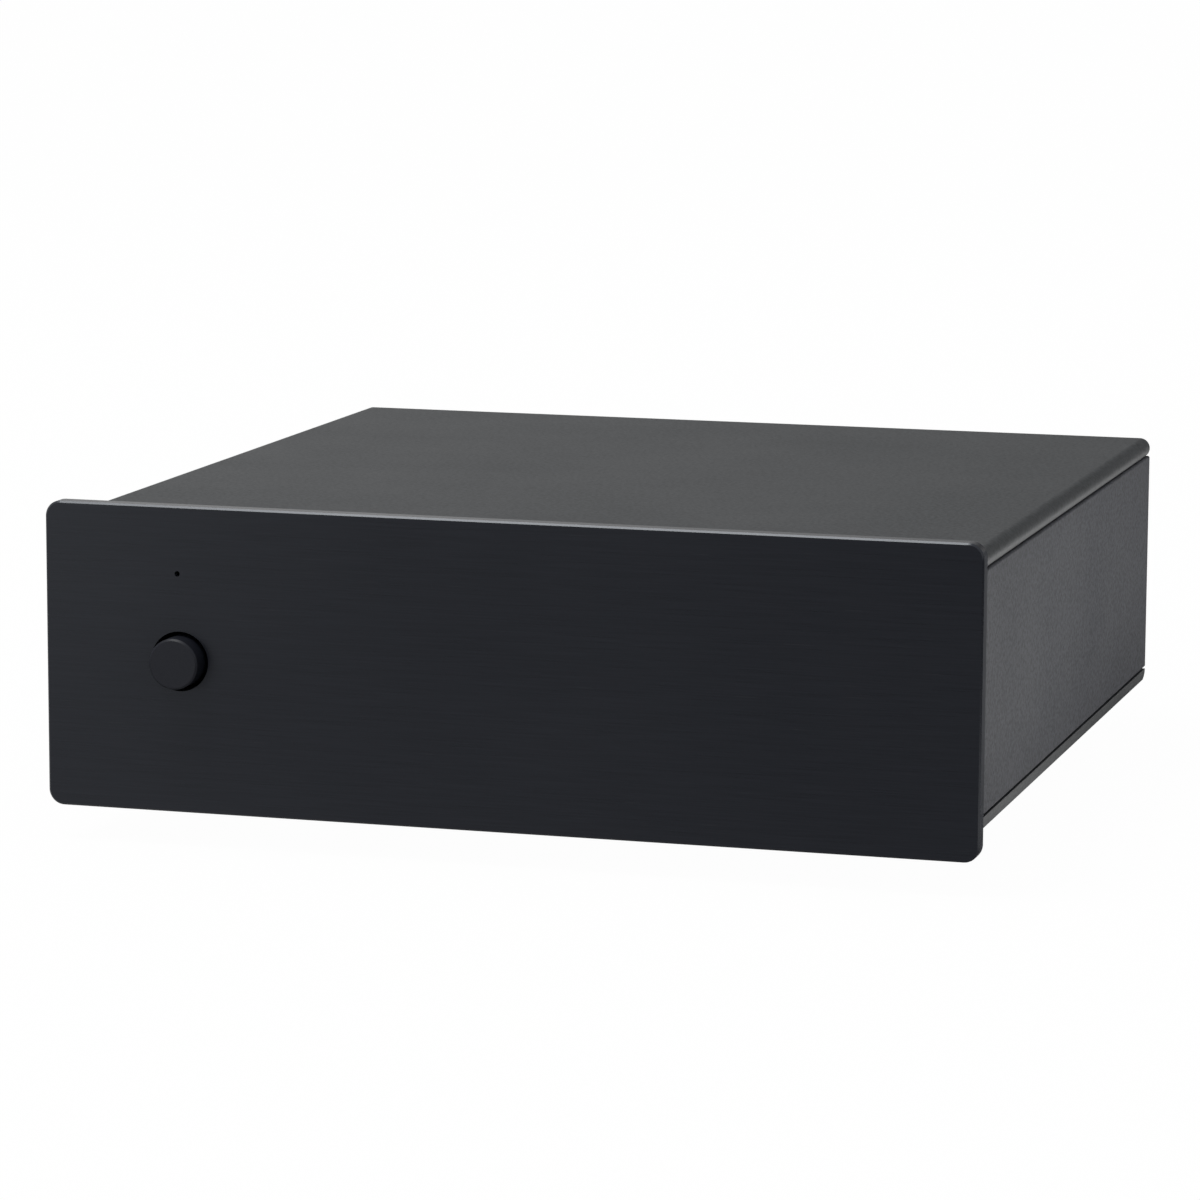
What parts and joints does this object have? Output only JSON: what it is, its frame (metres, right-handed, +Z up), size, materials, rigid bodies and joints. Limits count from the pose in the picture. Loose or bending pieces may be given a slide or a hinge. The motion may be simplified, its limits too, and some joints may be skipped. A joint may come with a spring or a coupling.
{
  "type": "phono preamp",
  "caption": "Small black metal box with a brushed face plate, a round power button, a pinhole light, rear sockets, a ground terminal and setting switches underneath.",
  "frame": {"origin": "middle of the object's box, on the surface that its feet stand on", "axes": "+Z up, +Y from the face plate to the rear sockets, +X to the right seen from the front"},
  "size_m": [0.103, 0.119, 0.037],
  "materials": {
    "black_brushed_aluminium": "black anodised over a fine horizontal brush",
    "black_satin_coat": "black powder coat with a fine grain",
    "black_anodised": "black anodised, satin",
    "black_rubber": "matt black rubber",
    "black_zinc_steel": "black zinc plate",
    "zinc_steel": "bright zinc plate",
    "spring_steel": "bright drawn wire",
    "gold_plated_brass": "gold plated",
    "nickel_plated_brass": "nickel plated",
    "tinned_copper": "tin plated",
    "black_plastic": "moulded, satin",
    "white_plastic": "moulded, glossy",
    "red_plastic": "moulded, glossy",
    "blue_plastic": "moulded switch body",
    "clear_blue_lens": "clear blue epoxy",
    "green_board": "glass-fibre board with green solder mask",
    "capacitor_sleeve": "shrunk sleeve over an aluminium can",
    "film_case": "moulded box",
    "chip_black": "moulded epoxy"
  },
  "bodies": {
    "root": {"audio_chips": "chip_black", "bottom_cover": "black_satin_coat", "bottom_cover_screws": "black_zinc_steel", "circuit_board": "green_board", "electrolytic_capacitors": "capacitor_sleeve", "face_plate": "black_brushed_aluminium", "face_plate_nuts": "zinc_steel", "face_plate_studs": "zinc_steel", "film_capacitors": "film_case", "foot_front_left": "black_rubber", "foot_front_right": "black_rubber", "foot_rear_left": "black_rubber", "foot_rear_right": "black_rubber", "front_panel": "black_anodised", "front_panel_screws": "zinc_steel", "ground_inner_nut": "zinc_steel", "ground_lug": "tinned_copper", "ground_post": "gold_plated_brass", "input_jack_block": "black_plastic", "input_left_socket_shell": "gold_plated_brass", "input_right_socket_shell": "gold_plated_brass", "light_holder": "black_plastic", "output_jack_block": "black_plastic", "output_left_socket_shell": "gold_plated_brass", "output_right_socket_shell": "gold_plated_brass", "power_jack_body": "black_plastic", "power_jack_pin": "nickel_plated_brass", "power_light": "clear_blue_lens", "rear_panel": "black_satin_coat", "rear_panel_screws": "black_zinc_steel", "resistors": "chip_black", "setting_bank_left": "blue_plastic", "setting_bank_right": "blue_plastic", "side_rail_left": "black_satin_coat", "side_rail_right": "black_satin_coat", "socket_contacts": "gold_plated_brass", "socket_insulators_red": "red_plastic", "socket_insulators_white": "white_plastic", "switch_body": "black_plastic", "switch_spring": "spring_steel", "top_cover": "black_satin_coat", "voltage_regulator": "chip_black"},
    "power_button": {"power_button": "black_anodised", "button_plunger": "black_plastic", "switch_shaft": "white_plastic"},
    "ground_washer": {"ground_washer": "gold_plated_brass"},
    "ground_nut": {"ground_nut": "gold_plated_brass"},
    "slider_left_1": {"slider_left_1": "white_plastic"},
    "slider_left_2": {"slider_left_2": "white_plastic"},
    "slider_left_3": {"slider_left_3": "white_plastic"},
    "slider_left_4": {"slider_left_4": "white_plastic"},
    "slider_left_5": {"slider_left_5": "white_plastic"},
    "slider_left_6": {"slider_left_6": "white_plastic"},
    "slider_right_1": {"slider_right_1": "white_plastic"},
    "slider_right_2": {"slider_right_2": "white_plastic"},
    "slider_right_3": {"slider_right_3": "white_plastic"},
    "slider_right_4": {"slider_right_4": "white_plastic"},
    "slider_right_5": {"slider_right_5": "white_plastic"},
    "slider_right_6": {"slider_right_6": "white_plastic"}
  },
  "joints": [
    {"name": "power_button_press", "type": "slide", "parent": "root", "child": "power_button", "axis": [0, 1, 0], "range_m": [0, 0.0015], "stiffness_N_per_m": 500, "springref_m": -0.002, "deforming": ["switch_spring"]},
    {"name": "ground_washer_travel", "type": "slide", "parent": "root", "child": "ground_washer", "axis": [0, 1, 0], "range_m": [0, 0.0035]},
    {"name": "ground_nut_turn", "type": "hinge", "parent": "ground_washer", "child": "ground_nut", "pos_m": [0.005, 0.047, 0.02225], "axis": [0, 1, 0], "range_deg": [0, 1801]},
    {"name": "slider_left_1_slide", "type": "slide", "parent": "root", "child": "slider_left_1", "axis": [0, 1, 0], "range_m": [0, 0.0016]},
    {"name": "slider_left_2_slide", "type": "slide", "parent": "root", "child": "slider_left_2", "axis": [0, 1, 0], "range_m": [0, 0.0016]},
    {"name": "slider_left_3_slide", "type": "slide", "parent": "root", "child": "slider_left_3", "axis": [0, 1, 0], "range_m": [0, 0.0016]},
    {"name": "slider_left_4_slide", "type": "slide", "parent": "root", "child": "slider_left_4", "axis": [0, 1, 0], "range_m": [0, 0.0016]},
    {"name": "slider_left_5_slide", "type": "slide", "parent": "root", "child": "slider_left_5", "axis": [0, 1, 0], "range_m": [0, 0.0016]},
    {"name": "slider_left_6_slide", "type": "slide", "parent": "root", "child": "slider_left_6", "axis": [0, 1, 0], "range_m": [0, 0.0016]},
    {"name": "slider_right_1_slide", "type": "slide", "parent": "root", "child": "slider_right_1", "axis": [0, 1, 0], "range_m": [0, 0.0016]},
    {"name": "slider_right_2_slide", "type": "slide", "parent": "root", "child": "slider_right_2", "axis": [0, 1, 0], "range_m": [0, 0.0016]},
    {"name": "slider_right_3_slide", "type": "slide", "parent": "root", "child": "slider_right_3", "axis": [0, 1, 0], "range_m": [0, 0.0016]},
    {"name": "slider_right_4_slide", "type": "slide", "parent": "root", "child": "slider_right_4", "axis": [0, 1, 0], "range_m": [0, 0.0016]},
    {"name": "slider_right_5_slide", "type": "slide", "parent": "root", "child": "slider_right_5", "axis": [0, 1, 0], "range_m": [0, 0.0016]},
    {"name": "slider_right_6_slide", "type": "slide", "parent": "root", "child": "slider_right_6", "axis": [0, 1, 0], "range_m": [0, 0.0016]}
  ],
  "couplings": [
    {"joint": "ground_nut_turn", "follows": "ground_washer_travel", "rad_per_m": 8976}
  ]
}
